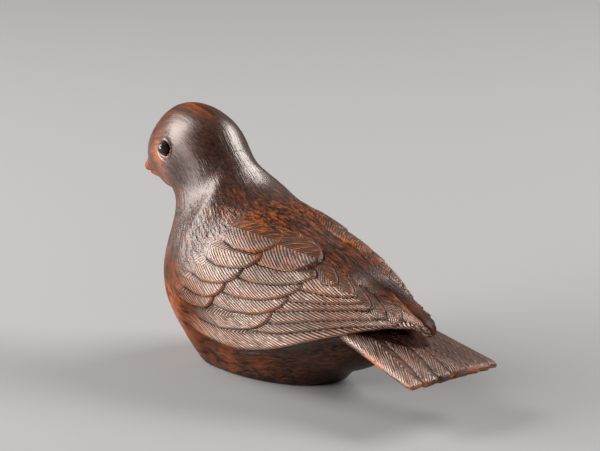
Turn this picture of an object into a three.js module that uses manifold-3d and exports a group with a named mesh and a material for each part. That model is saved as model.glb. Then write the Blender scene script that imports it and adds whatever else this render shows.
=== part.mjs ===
// A netsuke: a cord toggle carved from one block of dark wood as a resting pigeon, with two inlaid eyes.
// Millimetres, +Z up. The pigeon faces -Y, its left side is +X, and it stands on its flat underside.

import * as THREE from 'three';
import { mergeVertices } from 'three/addons/utils/BufferGeometryUtils.js';
import Module from 'manifold-3d';

const wasm = await Module();
wasm.setup();

const { degToRad, radToDeg, clamp, lerp, smoothstep } = THREE.MathUtils;

// The lumps of the block before any carving. y and z place a lump on the mirror plane, rx, ry and rz are
// its half sizes, and tilt raises its front end, in degrees.
const SKULL = { y: -18.6, z: 24.6, rx: 4.3, ry: 6.5, rz: 5.3, tilt: 20 };
const FACE = { y: -22.7, z: 23.2, rx: 2.9, ry: 3.4, rz: 3.3, tilt: 30 };
const BREAST = { y: -9, z: 9.9, rx: 10.4, ry: 9.6, rz: 9.8, tilt: 0 };
const BODY = { y: 2, z: 9.7, rx: 9.4, ry: 13.8, rz: 7.4, tilt: 12 };
const BELLY = { y: -4.2, z: 3.8, rx: 8.4, ry: 11.9, rz: 8.2, tilt: 0 };

// Tapering round bars: a ball at each end and the cone that wraps both.
const NECK = { from: [-16.5, 23.1], to: [-10.1, 12.9], fromRadius: 3.9, toRadius: 7.2, widen: 1 };
const WINGS = { from: [-2.7, 10.6], to: [21.1, 9.4], fromRadius: 8.3, toRadius: 2.05, widen: 1.21 };

// How softly each pair of lumps runs together.
const BLEND = { face: 3, neck: 4, breast: 4, belly: 3, head: 6, wings: 3 };

// The chart that the wings are laid out on. Its axis runs along the body, and an angle about it is
// 0 below, 90 at the side and 180 on the back.
const CHART = { height: 10.4, fall: 0.05, reach: 16 };

// The lower edge of the folded wing on that chart, from the shoulder to the crossed tips.
const WING_EDGE = [
  [-11.5, 63], [-10, 61], [-6, 59], [-1, 55.5], [3, 58], [6.5, 64.5], [10.3, 73], [14, 81],
  [16.7, 91], [19.7, 108], [22, 128], [23.2, 146],
];
const WING = { proud: 0.8, frontDip: 1, front: -11, settled: -7, rear: 23.35 };
const FLANK = { fadeFrom: 42, fadeTo: 6, frontFrom: -13, frontTo: -8 };

// Feathers as root and tip on the chart, half width in millimetres, and sideways bend of the quill.
// Each row overlaps the next: short coverts first, then the broad coverts, tertials and flight feathers.
const SHORT_COVERTS = [
  { root: [-6, 140], tip: [1.9, 146], half: 2.5, bend: 0.3 },
  { root: [-7.5, 122], tip: [1.4, 127], half: 1.9, bend: 0.4 },
  { root: [-9.3, 108], tip: [0.1, 115], half: 1.8, bend: 0.5 },
  { root: [-10.3, 97.5], tip: [-1.6, 102.5], half: 1.6, bend: 0.5 },
  { root: [-10.6, 88.5], tip: [-3.2, 92.5], half: 1.5, bend: 0.5 },
];
const BROAD_COVERTS = [
  { root: [-3, 142], tip: [7.7, 149], half: 3, bend: 0.4 },
  { root: [-3.5, 120], tip: [8.7, 133], half: 2.1, bend: 0.6 },
  { root: [-5, 106], tip: [8.2, 119], half: 1.9, bend: 0.8 },
  { root: [-6.5, 95], tip: [7.3, 105], half: 1.8, bend: 0.8 },
  { root: [-9.5, 80], tip: [5.7, 92], half: 1.8, bend: 1 },
];
const TERTIALS = [
  { root: [3, 165], tip: [20.8, 158], half: 2, bend: 0.2 },
  { root: [3, 150], tip: [18, 133], half: 2.2, bend: 0 },
];
const FLIGHT_FEATHERS = [
  { root: [3, 126], tip: [14.2, 138], half: 1.7, bend: 0.3 },
  { root: [2, 111], tip: [15.2, 134.5], half: 1.7, bend: 0.5 },
  { root: [0, 98.5], tip: [16.6, 132], half: 1.7, bend: 0.7 },
  { root: [-2, 89.5], tip: [18.5, 124], half: 1.7, bend: 0.9 },
  { root: [-4, 80], tip: [20, 118], half: 1.8, bend: 1 },
];
const RISE = { shortCoverts: 0.6, broadCoverts: 0.55, tertials: 0.45, flightFeathers: 0.42 };
const FEATHER = { sunk: 0.3, depth: 1, crown: 0.08, tipStart: 0.68, narrowRoot: 0.6, bluntTip: 0.17 };

// The tail: feathers that fan from the rump, the middle one on top, laid on a sagging plate.
const TAIL = {
  root: [10, 8.8], end: [27.8, 6.25], rootHalf: 5.5, endHalf: 7.1,
  rootThick: 3, endThick: 1.15, sag: 0.012, perSide: 3, step: 0.17, overlap: 1.35, roundFrom: 0.93, bluntEnd: 0.67, shorten: 0.08,
};

// The two halves of the beak. Roots and tips are steps from the middle of the face.
const BEAK = {
  upper: { root: [-0.4, -1.2], tip: [-6, -3], rootRadius: 1.8, tipRadius: 0.38 },
  lower: { root: [-0.1, -2.4], tip: [-4.9, -3.25], rootRadius: 1.35, tipRadius: 0.32 },
};

// The eye beads sit ahead of and above the middle of the skull.
const EYE = { ahead: 1.9, above: 0.3, radius: 0.9, stands: 0.4, gap: 0.3 };

// The two cord holes in the underside lean together and meet inside.
const CORD_HOLES = { middle: -2.4, spacing: 7.6, meet: 5.5, radii: [1.5, 1.3], spare: 1.2 };

const DETAIL = { rings: 38, sides: 32, wingRings: 22, hole: 20, bead: 18, halvings: 40 };
const BELOW = 20;

// The distance from p to a tilted ellipsoid, close enough near its surface.
function lumpField(p, lump) {
  const c = Math.cos(degToRad(lump.tilt));
  const s = Math.sin(degToRad(lump.tilt));
  const y = p.y - lump.y;
  const z = p.z - lump.z;
  const q = [p.x / lump.rx, (y * c - z * s) / lump.ry, (y * s + z * c) / lump.rz];
  const near = Math.hypot(...q);
  const slope = Math.hypot(q[0] / lump.rx, q[1] / lump.ry, q[2] / lump.rz);
  return (near * (near - 1)) / Math.max(slope, Number.EPSILON);
}

// The distance from p to a tapering round bar on the mirror plane.
function barField(p, bar) {
  const axis = new THREE.Vector2(bar.to[0] - bar.from[0], bar.to[1] - bar.from[1]);
  const length = axis.length();
  axis.divideScalar(length);
  const y = p.y - bar.from[0];
  const z = p.z - bar.from[1];
  const along = y * axis.x + z * axis.y;
  const off = Math.hypot(p.x / bar.widen, z * axis.x - y * axis.y);
  const lean = (bar.fromRadius - bar.toRadius) / length;
  const up = Math.sqrt(1 - lean * lean);
  const side = off * lean - along * up;
  if (side > 0) return Math.hypot(off, along) - bar.fromRadius;
  if (side + length * up < 0) return Math.hypot(off, along - length) - bar.toRadius;
  return off * up + along * lean - bar.fromRadius;
}

// The smaller of two distances, rounded off where they are alike.
function blend(a, b, width) {
  const h = Math.max(width - Math.abs(a - b), 0) / width;
  return Math.min(a, b) - (h * h * width) / 4;
}

function blockField(p) {
  const skull = blend(lumpField(p, SKULL), lumpField(p, FACE), BLEND.face);
  const head = blend(skull, barField(p, NECK), BLEND.neck);
  const trunk = blend(lumpField(p, BREAST), lumpField(p, BODY), BLEND.breast);
  return blend(head, blend(trunk, lumpField(p, BELLY), BLEND.belly), BLEND.head);
}

// The block with the folded wings on it, as smooth as before the feathers are cut.
function restField(p) {
  return blend(blockField(p), barField(p, WINGS), BLEND.wings);
}

function chartAxis(y) {
  return CHART.height - CHART.fall * y;
}

function edgeAngle(y) {
  const last = WING_EDGE.length - 1;
  if (y <= WING_EDGE[0][0]) return WING_EDGE[0][1];
  for (let i = 0; i < last; i++) {
    const [fromY, from] = WING_EDGE[i];
    const [toY, to] = WING_EDGE[i + 1];
    if (y < toY) return lerp(from, to, (y - fromY) / (toY - fromY));
  }
  return WING_EDGE[last][1];
}

// The block, cut back below and behind the edge of the wing so that the wing stands proud of the flank.
function flankField(p) {
  const angle = radToDeg(Math.atan2(Math.abs(p.x), chartAxis(p.y) - p.z));
  const edge = edgeAngle(p.y);
  const upward = smoothstep(angle, edge - FLANK.fadeFrom, edge - FLANK.fadeTo);
  const backward = smoothstep(p.y, FLANK.frontFrom, FLANK.frontTo);
  return blockField(p) + WING.proud * upward * backward;
}

// The wings, dipping under the breast at the front.
function wingField(p) {
  return restField(p) + WING.frontDip * (1 - smoothstep(p.y, WING.front, WING.settled));
}

// The point where a ray from inside leaves a field's surface.
function surfacePoint(field, from, ray) {
  let inside = 0;
  let outside = CHART.reach;
  for (let i = 0; i < DETAIL.halvings; i++) {
    const middle = (inside + outside) / 2;
    if (field(from.clone().addScaledVector(ray, middle)) < 0) inside = middle;
    else outside = middle;
  }
  return from.clone().addScaledVector(ray, inside);
}

// A point over the resting wings: y along the bird, angle on the chart, height off the surface.
function place(y, angle, height, side) {
  const centre = new THREE.Vector3(0, y, chartAxis(y));
  const ray = new THREE.Vector3(side * Math.sin(degToRad(angle)), 0, -Math.cos(degToRad(angle)));
  return surfacePoint(restField, centre, ray).addScaledVector(ray, height);
}

function closedGeometry(points, faces) {
  const geometry = new THREE.BufferGeometry().setFromPoints(points);
  geometry.setIndex(faces);
  return geometry;
}

// A closed skin through rings of surface points. Each station has a centre on the mirror plane, the
// direction of its first ray, and the first and last one close the skin with a pole along their axis.
function ringSkin(field, stations, sides) {
  const across = new THREE.Vector3(1, 0, 0);
  const points = [];
  const faces = [];
  for (const { centre, out } of stations)
    for (let i = 0; i < sides; i++) {
      const turn = (2 * Math.PI * i) / sides;
      const ray = out.clone().multiplyScalar(Math.cos(turn)).addScaledVector(across, Math.sin(turn));
      points.push(surfacePoint(field, centre, ray));
    }
  const first = stations[0];
  const last = stations.at(-1);
  const start = points.push(surfacePoint(field, first.centre, first.out.clone().cross(across))) - 1;
  const end = points.push(surfacePoint(field, last.centre, across.clone().cross(last.out))) - 1;
  const lastRing = (stations.length - 1) * sides;
  for (let i = 0; i < sides; i++) {
    const j = (i + 1) % sides;
    faces.push(start, i, j, lastRing + i, end, lastRing + j);
    for (let ring = 0; ring < lastRing; ring += sides) {
      const [a, b] = [ring + i, ring + j];
      faces.push(a, a + sides, b + sides, a, b + sides, b);
    }
  }
  return closedGeometry(points, faces);
}

// A closed plate over a grid of rows and columns. at(row, column, level) gives its points, with
// level 1 on its top and 0 on its bottom, and mirrored turns its faces round.
function plate(rows, columns, at, mirrored) {
  const points = [];
  const faces = [];
  const width = columns.length;
  const size = rows.length * width;
  for (const level of [1, 0])
    for (const row of rows) for (const column of columns) points.push(at(row, column, level));
  const quad = (a, b, c, d) => {
    if (mirrored) faces.push(a, c, b, a, d, c);
    else faces.push(a, b, c, a, c, d);
  };
  const top = (i, j) => i * width + j;
  for (let i = 0; i + 1 < rows.length; i++) {
    for (let j = 0; j + 1 < width; j++) {
      quad(top(i, j), top(i, j + 1), top(i + 1, j + 1), top(i + 1, j));
      quad(size + top(i, j), size + top(i + 1, j), size + top(i + 1, j + 1), size + top(i, j + 1));
    }
    quad(top(i, 0), top(i + 1, 0), size + top(i + 1, 0), size + top(i, 0));
    quad(size + top(i, width - 1), size + top(i + 1, width - 1), top(i + 1, width - 1), top(i, width - 1));
  }
  for (let j = 0; j + 1 < width; j++) {
    const i = rows.length - 1;
    quad(size + top(0, j), size + top(0, j + 1), top(0, j + 1), top(0, j));
    quad(top(i, j), top(i, j + 1), size + top(i, j + 1), size + top(i, j));
  }
  return closedGeometry(points, faces);
}

function solid(geometry) {
  const bare = geometry.index ? geometry.toNonIndexed() : geometry.clone();
  for (const name of Object.keys(bare.attributes)) if (name !== 'position') bare.deleteAttribute(name);
  const merged = mergeVertices(bare);
  const vertProperties = merged.attributes.position.array;
  return new wasm.Manifold(new wasm.Mesh({ numProp: 3, vertProperties, triVerts: merged.index.array }));
}

function geometryOf(body) {
  const { vertProperties, triVerts } = body.getMesh();
  const geometry = new THREE.BufferGeometry();
  geometry.setAttribute('position', new THREE.BufferAttribute(Float32Array.from(vertProperties), 3));
  geometry.setIndex(new THREE.BufferAttribute(Uint32Array.from(triVerts), 1));
  const flat = geometry.toNonIndexed();
  flat.computeVertexNormals();
  return flat;
}

// Head, neck and trunk: rings that lie level through the head and turn upright along the body.
function block() {
  const keys = [
    [SKULL.y, SKULL.z + SKULL.rz - 0.7, 178], [SKULL.y - 0.4, SKULL.z + 1.4, 180],
    [SKULL.y + 0.6, SKULL.z - 2.7, 189], [(SKULL.y + NECK.to[0]) / 2, NECK.to[1] + 4.5, 212],
    [NECK.to[0] - 0.4, NECK.to[1] - 0.5, 238], [BODY.y - 6, BODY.z + 0.3, 258],
    [BODY.y + 3, BODY.z + 0.3, 270], [BODY.y + BODY.ry - 0.9, BODY.z + 1.1, 276],
  ];
  const spine = new THREE.CatmullRomCurve3(keys.map((key) => new THREE.Vector3(...key)));
  const stations = [];
  for (let i = 0; i <= DETAIL.rings; i++) {
    const { x: y, y: z, z: angle } = spine.getPoint(i / DETAIL.rings);
    const out = new THREE.Vector3(0, Math.cos(degToRad(angle)), Math.sin(degToRad(angle)));
    stations.push({ centre: new THREE.Vector3(0, y, z), out });
  }
  return solid(ringSkin(flankField, stations, DETAIL.sides));
}

// Everything above the wing's lower edge, as seen from the side.
function aboveWingEdge() {
  const edge = WING_EDGE.map(([y, angle]) => {
    const point = place(y, angle, 0, 1);
    return new THREE.Vector2(point.y, point.z);
  });
  const points = new THREE.SplineCurve(edge).getPoints(2 * WING_EDGE.length);
  const outline = new THREE.Shape(points);
  const beyond = Math.max(WING.rear, points.at(-1).x) + 1;
  outline.lineTo(beyond, points.at(-1).y);
  outline.lineTo(beyond, chartAxis(0) + CHART.reach);
  outline.lineTo(points[0].x, chartAxis(0) + CHART.reach);
  const prism = new THREE.ExtrudeGeometry(outline, { depth: 2 * CHART.reach, bevelEnabled: false });
  const turned = new THREE.Matrix4().makeBasis(
    new THREE.Vector3(0, 1, 0), new THREE.Vector3(0, 0, 1), new THREE.Vector3(1, 0, 0),
  );
  return solid(prism.translate(0, 0, -CHART.reach).applyMatrix4(turned));
}

function foldedWings() {
  const stations = [];
  for (let i = 0; i <= DETAIL.wingRings; i++) {
    const share = Math.sin((Math.PI / 2) * (i / DETAIL.wingRings));
    const y = lerp(WING.front, WING.rear - 0.3, share);
    stations.push({ centre: new THREE.Vector3(0, y, chartAxis(y)), out: new THREE.Vector3(0, 0, -1) });
  }
  return solid(ringSkin(wingField, stations, DETAIL.sides)).intersect(aboveWingEdge());
}

// The width left along a round end, from 1 where it starts to its blunt share at the very end.
function roundEnd(past, blunt) {
  return Math.sqrt(1 - (1 - blunt * blunt) * past * past);
}

// The half width of a feather, as a share, from its hidden root to its round tip.
function featherWidth(along) {
  const rooted = Math.min(1, FEATHER.narrowRoot + along);
  const past = clamp((along - FEATHER.tipStart) / (1 - FEATHER.tipStart), 0, 1);
  return rooted * roundEnd(past, FEATHER.bluntTip);
}

// A feather as a thin leaf on the chart: sunk at its root and upper side, proud at its tip and lower side.
function wingFeather({ root, tip, half, bend }, rise, side) {
  const rows = [0, 0.4, 0.7, 0.87, 0.96, 1];
  const columns = [-0.9, -0.2, 0.5, 1];
  const middle = place((root[0] + tip[0]) / 2, (root[1] + tip[1]) / 2, 0, side);
  const perDegree = degToRad(Math.hypot(middle.x, middle.z - chartAxis(middle.y)));
  const run = new THREE.Vector2(tip[0] - root[0], (tip[1] - root[1]) * perDegree);
  const down = new THREE.Vector2(run.y, -run.x).normalize();
  const at = (along, across, level) => {
    const off = across * half * featherWidth(along) + bend * 4 * along * (1 - along);
    const y = lerp(root[0], tip[0], along) + down.x * off;
    const angle = lerp(root[1], tip[1], along) + (down.y * off) / perDegree;
    const lift = (0.35 + 0.65 * along) * Math.pow((1 + across) / 2, 0.7);
    const top = lerp(-FEATHER.sunk, rise, lift) + FEATHER.crown * (1 - across * across);
    return place(y, Math.min(angle, 179), level ? top : -FEATHER.depth, side);
  };
  return solid(plate(rows, columns, at, side < 0));
}

function wingFeathers() {
  const rowsOfFeathers = [
    [SHORT_COVERTS, RISE.shortCoverts], [BROAD_COVERTS, RISE.broadCoverts],
    [TERTIALS, RISE.tertials], [FLIGHT_FEATHERS, RISE.flightFeathers],
  ];
  const made = [];
  for (const [feathers, rise] of rowsOfFeathers)
    for (const feather of feathers) for (const side of [1, -1]) made.push(wingFeather(feather, rise, side));
  return wasm.Manifold.union(made);
}

function tailFeather(index) {
  const rows = [0, 0.5, 0.93, 1];
  const columns = [-1, 0, 1];
  const at = (along, across, level) => {
    const spread = lerp(TAIL.rootHalf, TAIL.endHalf, along) / (TAIL.perSide + TAIL.overlap / 2);
    const past = clamp((along - TAIL.roundFrom) / (1 - TAIL.roundFrom), 0, 1);
    const x = spread * (index + (across * roundEnd(past, TAIL.bluntEnd) * TAIL.overlap) / 2);
    const thick = lerp(TAIL.rootThick, TAIL.endThick, along);
    const down = TAIL.sag * x * x + TAIL.step * Math.abs(index) * (level ? 1 : 0.3);
    const z = lerp(TAIL.root[1], TAIL.end[1], along) + (level - 0.5) * thick - down;
    const end = TAIL.end[0] - TAIL.shorten * index * index;
    return new THREE.Vector3(x, lerp(TAIL.root[0], end, along), z);
  };
  return solid(plate(rows, columns, at, false));
}

function tail() {
  const made = [];
  for (let index = -TAIL.perSide; index <= TAIL.perSide; index++) made.push(tailFeather(index));
  return wasm.Manifold.union(made);
}

function mandible({ root, tip, rootRadius, tipRadius }) {
  const length = Math.hypot(tip[0] - root[0], tip[1] - root[1]);
  const profile = [new THREE.Vector2(0, 0), new THREE.Vector2(rootRadius, 0)];
  const steps = 6;
  for (let i = 1; i <= steps; i++) {
    const share = i / steps;
    const radius = lerp(rootRadius, tipRadius, Math.pow(share, 0.8));
    profile.push(new THREE.Vector2(radius, share * (length - tipRadius)));
  }
  profile.push(new THREE.Vector2(tipRadius * 0.7, length - tipRadius * 0.3), new THREE.Vector2(0, length));
  const cone = new THREE.LatheGeometry(profile, DETAIL.bead);
  const axis = new THREE.Vector3(0, tip[0] - root[0], tip[1] - root[1]).normalize();
  const turned = new THREE.Quaternion().setFromUnitVectors(new THREE.Vector3(0, 1, 0), axis);
  return solid(cone.applyQuaternion(turned).translate(0, FACE.y + root[0], FACE.z + root[1]));
}

// The middle of an eye bead, set into the side of the head.
function eyeCentre(side) {
  const middle = new THREE.Vector3(0, SKULL.y - EYE.ahead, SKULL.z + EYE.above);
  const cheek = surfacePoint(blockField, middle, new THREE.Vector3(side, 0, 0));
  return cheek.addScaledVector(new THREE.Vector3(side, 0, 0), EYE.stands - EYE.radius);
}

function eyeSocket(side) {
  const ball = new THREE.SphereGeometry(EYE.radius + EYE.gap, DETAIL.bead, DETAIL.bead / 2);
  return solid(ball.translate(...eyeCentre(side)));
}

// One leg of the cord tunnel, from just below the underside to where the two legs meet.
function cordHole(end, radius) {
  const mouth = new THREE.Vector3(0, CORD_HOLES.middle + (end * CORD_HOLES.spacing) / 2, 0);
  const meet = new THREE.Vector3(0, CORD_HOLES.middle, CORD_HOLES.meet);
  const axis = meet.clone().sub(mouth).normalize();
  const length = mouth.distanceTo(meet) + 2 * CORD_HOLES.spare;
  const drill = new THREE.CylinderGeometry(radius, radius, length, DETAIL.hole);
  const turned = new THREE.Quaternion().setFromUnitVectors(new THREE.Vector3(0, 1, 0), axis);
  const middle = mouth.lerp(meet, 0.5);
  return solid(drill.applyQuaternion(turned).translate(...middle));
}

function carvedBird() {
  const ground = new THREE.BoxGeometry(4 * BELOW, 4 * BELOW, BELOW).translate(0, 0, -BELOW / 2);
  const joined = [block(), foldedWings(), wingFeathers(), tail(), mandible(BEAK.upper), mandible(BEAK.lower)];
  const cuts = [
    solid(ground), eyeSocket(1), eyeSocket(-1),
    cordHole(-1, CORD_HOLES.radii[0]), cordHole(1, CORD_HOLES.radii[1]),
  ];
  return wasm.Manifold.union(joined).subtract(wasm.Manifold.union(cuts));
}

function eyeBead(side) {
  return new THREE.SphereGeometry(EYE.radius, DETAIL.bead, DETAIL.bead / 2).translate(...eyeCentre(side));
}

const wood = new THREE.MeshStandardMaterial({ color: 0x5a2c18, roughness: 0.35, metalness: 0 });
const horn = new THREE.MeshStandardMaterial({ color: 0x0d0a09, roughness: 0.08, metalness: 0 });

function named(name, geometry, material) {
  const mesh = new THREE.Mesh(geometry, material);
  mesh.name = name;
  return mesh;
}

const netsuke = new THREE.Group();
netsuke.add(
  named('bird', geometryOf(carvedBird()), wood),
  named('left_eye', eyeBead(1), horn),
  named('right_eye', eyeBead(-1), horn),
);

// The origin lies under the middle of the pigeon, between the beak and the end of the tail.
netsuke.position.y = -(FACE.y + BEAK.upper.tip[0] + TAIL.end[0]) / 2;

export default netsuke;
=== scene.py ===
# %% [markdown]
# # A pigeon netsuke, carved and dressed
# A netsuke is a toggle that holds a cord behind a sash. This one is a resting pigeon cut from one block
# of dark wood, with two inlaid eyes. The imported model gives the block, and here it gets what the knife
# and the years gave the real one: feathers, barbs, hair strokes, worn edges and a polished skin.

# %% Frame and working units
import math

import bpy
import numpy as np
from mathutils import Matrix, Vector


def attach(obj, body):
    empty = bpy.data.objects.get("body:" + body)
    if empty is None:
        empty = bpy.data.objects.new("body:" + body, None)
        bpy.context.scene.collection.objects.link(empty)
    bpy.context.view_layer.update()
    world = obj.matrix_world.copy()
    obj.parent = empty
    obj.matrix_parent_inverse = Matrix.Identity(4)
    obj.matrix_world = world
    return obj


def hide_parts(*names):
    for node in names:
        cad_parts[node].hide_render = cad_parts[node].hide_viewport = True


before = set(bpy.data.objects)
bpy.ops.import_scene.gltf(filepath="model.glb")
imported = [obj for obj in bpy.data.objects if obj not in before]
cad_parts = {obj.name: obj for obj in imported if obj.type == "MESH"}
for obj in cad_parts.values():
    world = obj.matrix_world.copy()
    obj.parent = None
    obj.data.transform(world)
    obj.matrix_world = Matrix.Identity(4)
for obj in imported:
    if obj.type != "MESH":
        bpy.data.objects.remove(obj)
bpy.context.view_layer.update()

bpy.ops.object.select_all(action="DESELECT")
MM = 0.001
ROW_SHIFT = 0.45  # the carving's middle lies this far in front of the row's origin, in mm

# %% [markdown]
# ## Camera
# The photograph looks down a little on the pigeon's left side from behind, through a long lens. A camera
# is placed by the direction back from what it looks at. The aim lies a little above the middle of the
# pigeon, so the frame cuts as in the photograph without any lens shift.

# %% Camera
VIEW = {"azimuth": 138.5, "elevation": 15.5, "distance": 380.0, "lens": 189.24}
AIM = {"target": (0.0, 0.45, 13.4), "up": 4.71, "right": 0.12}


def direction(azimuth, elevation):
    a, e = math.radians(azimuth), math.radians(elevation)
    return Vector((math.sin(a) * math.cos(e), -math.cos(a) * math.cos(e), math.sin(e)))


def add_camera():
    back = direction(VIEW["azimuth"], VIEW["elevation"])
    place = Vector(AIM["target"]) + back * VIEW["distance"]
    right = (-back).cross(Vector((0, 0, 1))).normalized()
    aim = Vector(AIM["target"]) + right.cross(-back) * AIM["up"] + right * AIM["right"]
    bpy.ops.object.camera_add(location=place * MM)
    camera = bpy.context.object
    camera.rotation_euler = (aim - place).to_track_quat("-Z", "Y").to_euler()
    camera.data.lens = VIEW["lens"]
    camera.data.clip_start = 0.01
    bpy.context.scene.camera = camera
    return camera


camera = add_camera()
print("camera at", [round(c, 4) for c in camera.location])

# %% [markdown]
# ## Floor and studio light
# The pigeon stands on a pale sheet under a tall soft box on its left, with a long low one beside it and
# another on the far side. They give the pale streaks on its crown, nape, shoulder and flight feathers. A
# dim world fills the shadows. Area lights are used because only their size makes a highlight soft.

# %% Floor and lights
SOFT_BOXES = [
    {"azimuth": 34, "elevation": 31, "distance": 420, "width": 250, "height": 370, "power": 2.5},
    {"azimuth": 68, "elevation": 13, "distance": 420, "width": 230, "height": 110, "power": 1.7},
    {"azimuth": -108, "elevation": 38, "distance": 420, "width": 300, "height": 150, "power": 1.8},
]
LOOK_AT = Vector((0, 0, 12))


def add_soft_box(azimuth, elevation, distance, width, height, power):
    place = LOOK_AT + direction(azimuth, elevation) * distance
    bpy.ops.object.light_add(type="AREA", location=place * MM)
    lamp = bpy.context.object
    lamp.rotation_euler = (LOOK_AT - place).to_track_quat("-Z", "Y").to_euler()
    lamp.data.shape = "RECTANGLE"
    lamp.data.size, lamp.data.size_y = width * MM, height * MM
    lamp.data.energy = power
    return lamp


for box in SOFT_BOXES:
    add_soft_box(**box)

SHEET = {"size": 6.0, "colour": (0.330, 0.321, 0.313, 1), "roughness": 0.75}
bpy.ops.mesh.primitive_plane_add(size=SHEET["size"], location=(0, 0, 0))
floor = bpy.context.object
floor.name = "floor"

sheet = bpy.data.materials.new("pale_sheet")
sheet.use_nodes = True
sheet_shader = sheet.node_tree.nodes["Principled BSDF"]
sheet_shader.inputs["Base Color"].default_value = SHEET["colour"]
sheet_shader.inputs["Roughness"].default_value = SHEET["roughness"]
floor.data.materials.append(sheet)

ROOM = {"colour": (0.80, 0.79, 0.78, 1), "strength": 0.20}
world = bpy.data.worlds.new("studio")
bpy.context.scene.world = world
world.use_nodes = True
room = world.node_tree.nodes["Background"].inputs
room["Color"].default_value = ROOM["colour"]
room["Strength"].default_value = ROOM["strength"]
bpy.context.scene.view_settings.view_transform = "Standard"
print("lights:", len(SOFT_BOXES))

# %% [markdown]
# ## The form of the block
# A carver sees a pigeon as a few lumps that run together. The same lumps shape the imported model, and here
# they are written as distances: negative inside the wood, zero on its skin. Distances can be blended, cut
# and joined at any fineness, which a finished mesh can't. All sizes are in millimetres, in the carving's
# own frame, with the beak towards -Y.

# %% Lumps and bars
SKULL = {"y": -18.6, "z": 24.6, "rx": 4.3, "ry": 6.5, "rz": 5.3, "tilt": 20}
FACE = {"y": -22.8, "z": 23.1, "rx": 2.9, "ry": 3.65, "rz": 3.3, "tilt": 30}
BREAST = {"y": -9, "z": 9.9, "rx": 10.4, "ry": 9.6, "rz": 9.8, "tilt": 0}
BODY = {"y": 2, "z": 9.7, "rx": 9.4, "ry": 13.8, "rz": 7.4, "tilt": 12}
BELLY = {"y": -4.2, "z": 3.8, "rx": 8.4, "ry": 11.9, "rz": 8.2, "tilt": 0}
NECK = {"start": (-16.5, 23.1), "end": (-10.1, 12.9), "radii": (3.9, 7.2), "widen": 1}
WINGS = {"start": (-2.7, 10.6), "end": (21.1, 9.4), "radii": (8.3, 2.05), "widen": 1.21}
UPPER_BEAK = {"start": (-23.4, 23.2), "end": (-28.6, 20.45), "radii": (2.75, 0.55), "widen": 1}
LOWER_BEAK = {"start": (-22.8, 20.8), "end": (-27.7, 19.95), "radii": (1.7, 0.38), "widen": 1}


def lump_distance(p, lump):
    c, s = math.cos(math.radians(lump["tilt"])), math.sin(math.radians(lump["tilt"]))
    y, z = p[:, 1] - lump["y"], p[:, 2] - lump["z"]
    q = [p[:, 0] / lump["rx"], (y * c - z * s) / lump["ry"], (y * s + z * c) / lump["rz"]]
    near = np.sqrt(q[0] ** 2 + q[1] ** 2 + q[2] ** 2)
    slope = np.sqrt((q[0] / lump["rx"]) ** 2 + (q[1] / lump["ry"]) ** 2 + (q[2] / lump["rz"]) ** 2)
    return near * (near - 1) / np.maximum(slope, 1e-9)


def bar_distance(p, bar):
    (y0, z0), (y1, z1) = bar["start"], bar["end"]
    length = math.hypot(y1 - y0, z1 - z0)
    ay, az = (y1 - y0) / length, (z1 - z0) / length
    y, z = p[:, 1] - y0, p[:, 2] - z0
    along = y * ay + z * az
    off = np.hypot(p[:, 0] / bar["widen"], z * ay - y * az)
    lean = (bar["radii"][0] - bar["radii"][1]) / length
    up = math.sqrt(1 - lean * lean)
    side = off * lean - along * up
    cone = off * up + along * lean - bar["radii"][0]
    first = np.hypot(off, along) - bar["radii"][0]
    last = np.hypot(off, along - length) - bar["radii"][1]
    return np.where(side > 0, first, np.where(side + length * up < 0, last, cone))


def joined(a, b, soft):
    h = np.maximum(soft - np.abs(a - b), 0) / soft
    return np.minimum(a, b) - h * h * soft / 4


def cut(a, b, soft):
    return -joined(-a, -b, soft)


def ramp(value, low, high):
    t = np.clip((value - low) / (high - low), 0, 1)
    return t * t * (3 - 2 * t)


print("lumps and bars:", len([SKULL, FACE, BREAST, BODY, BELLY, NECK, WINGS, UPPER_BEAK, LOWER_BEAK]))


# %% [markdown]
# ## Body, wings, tail and beak as distances
# The wings stand proud of the flank along one curved lower edge, so the flank is cut back below and behind
# it. That edge is drawn on a chart round the body: y along it, and an angle from 0 below to 180 on the
# back. The tail is a thin sagging plate whose end is cut to the tips of its seven feathers.

# %% Block and chart
CHART = {"height": 10.4, "fall": 0.05, "reach": 16.0}
WING_EDGE = np.array([
    (-11.5, 63), (-10, 61), (-6, 59), (-1, 55.5), (3, 58), (6.5, 64.5), (10.3, 73), (14, 81),
    (16.7, 91), (19.7, 108), (22, 128), (23.2, 146)])
PROUD = 0.8


def block_distance(p):
    skull = joined(lump_distance(p, SKULL), lump_distance(p, FACE), 3)
    head = joined(skull, bar_distance(p, NECK), 4)
    trunk = joined(lump_distance(p, BREAST), lump_distance(p, BODY), 4)
    return joined(head, joined(trunk, lump_distance(p, BELLY), 3), 6)


def chart_axis(y):
    return CHART["height"] - CHART["fall"] * y


def chart_angle(p):
    return np.degrees(np.arctan2(np.abs(p[:, 0]), chart_axis(p[:, 1]) - p[:, 2]))


def chart_point(y, angle):
    """Points of the resting wings' skin on the left side, from the chart."""
    y, angle = np.atleast_1d(y).astype(float), np.radians(np.atleast_1d(angle).astype(float))
    low, high = np.zeros(len(y)), np.full(len(y), CHART["reach"])

    def at(r):
        return np.stack([r * np.sin(angle), y, chart_axis(y) - r * np.cos(angle)], 1)

    for _ in range(30):
        middle = (low + high) / 2
        q = at(middle)
        inside = joined(block_distance(q), bar_distance(q, WINGS), 3) < 0
        low, high = np.where(inside, middle, low), np.where(inside, high, middle)
    return at(low)


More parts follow.
